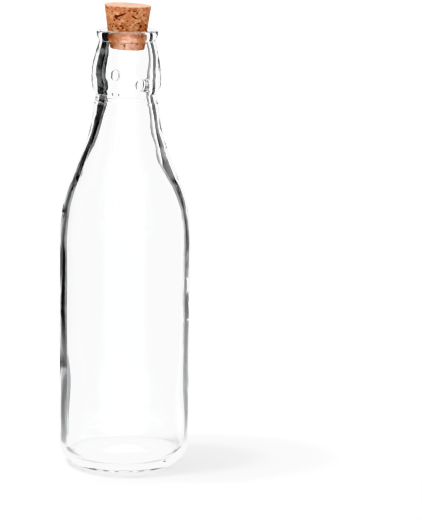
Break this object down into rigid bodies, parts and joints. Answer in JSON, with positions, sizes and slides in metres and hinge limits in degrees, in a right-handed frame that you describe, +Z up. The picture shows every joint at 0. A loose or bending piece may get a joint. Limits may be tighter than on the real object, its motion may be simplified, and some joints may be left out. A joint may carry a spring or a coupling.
{
  "type": "swing top bottle",
  "caption": "Clear glass storage bottle with a thick neck collar and bail sockets for a swing top closure, stoppered with a tapered cork.",
  "frame": {"origin": "on the bottle's axis, at the level of the ring it stands on", "axes": "+Z up along the bottle's axis, +X through one bail socket"},
  "size_m": [0.086, 0.086, 0.3053],
  "materials": {
    "clear_glass": "gloss",
    "cork": "matte"
  },
  "bodies": {
    "bottle": {"glass_bottle": "clear_glass"},
    "stopper": {"cork_stopper": "cork"}
  },
  "joints": [
    {"name": "stopper_pull", "type": "slide", "parent": "bottle", "child": "stopper", "axis": [0, 0, 1], "range_m": [0, 0.045]}
  ]
}
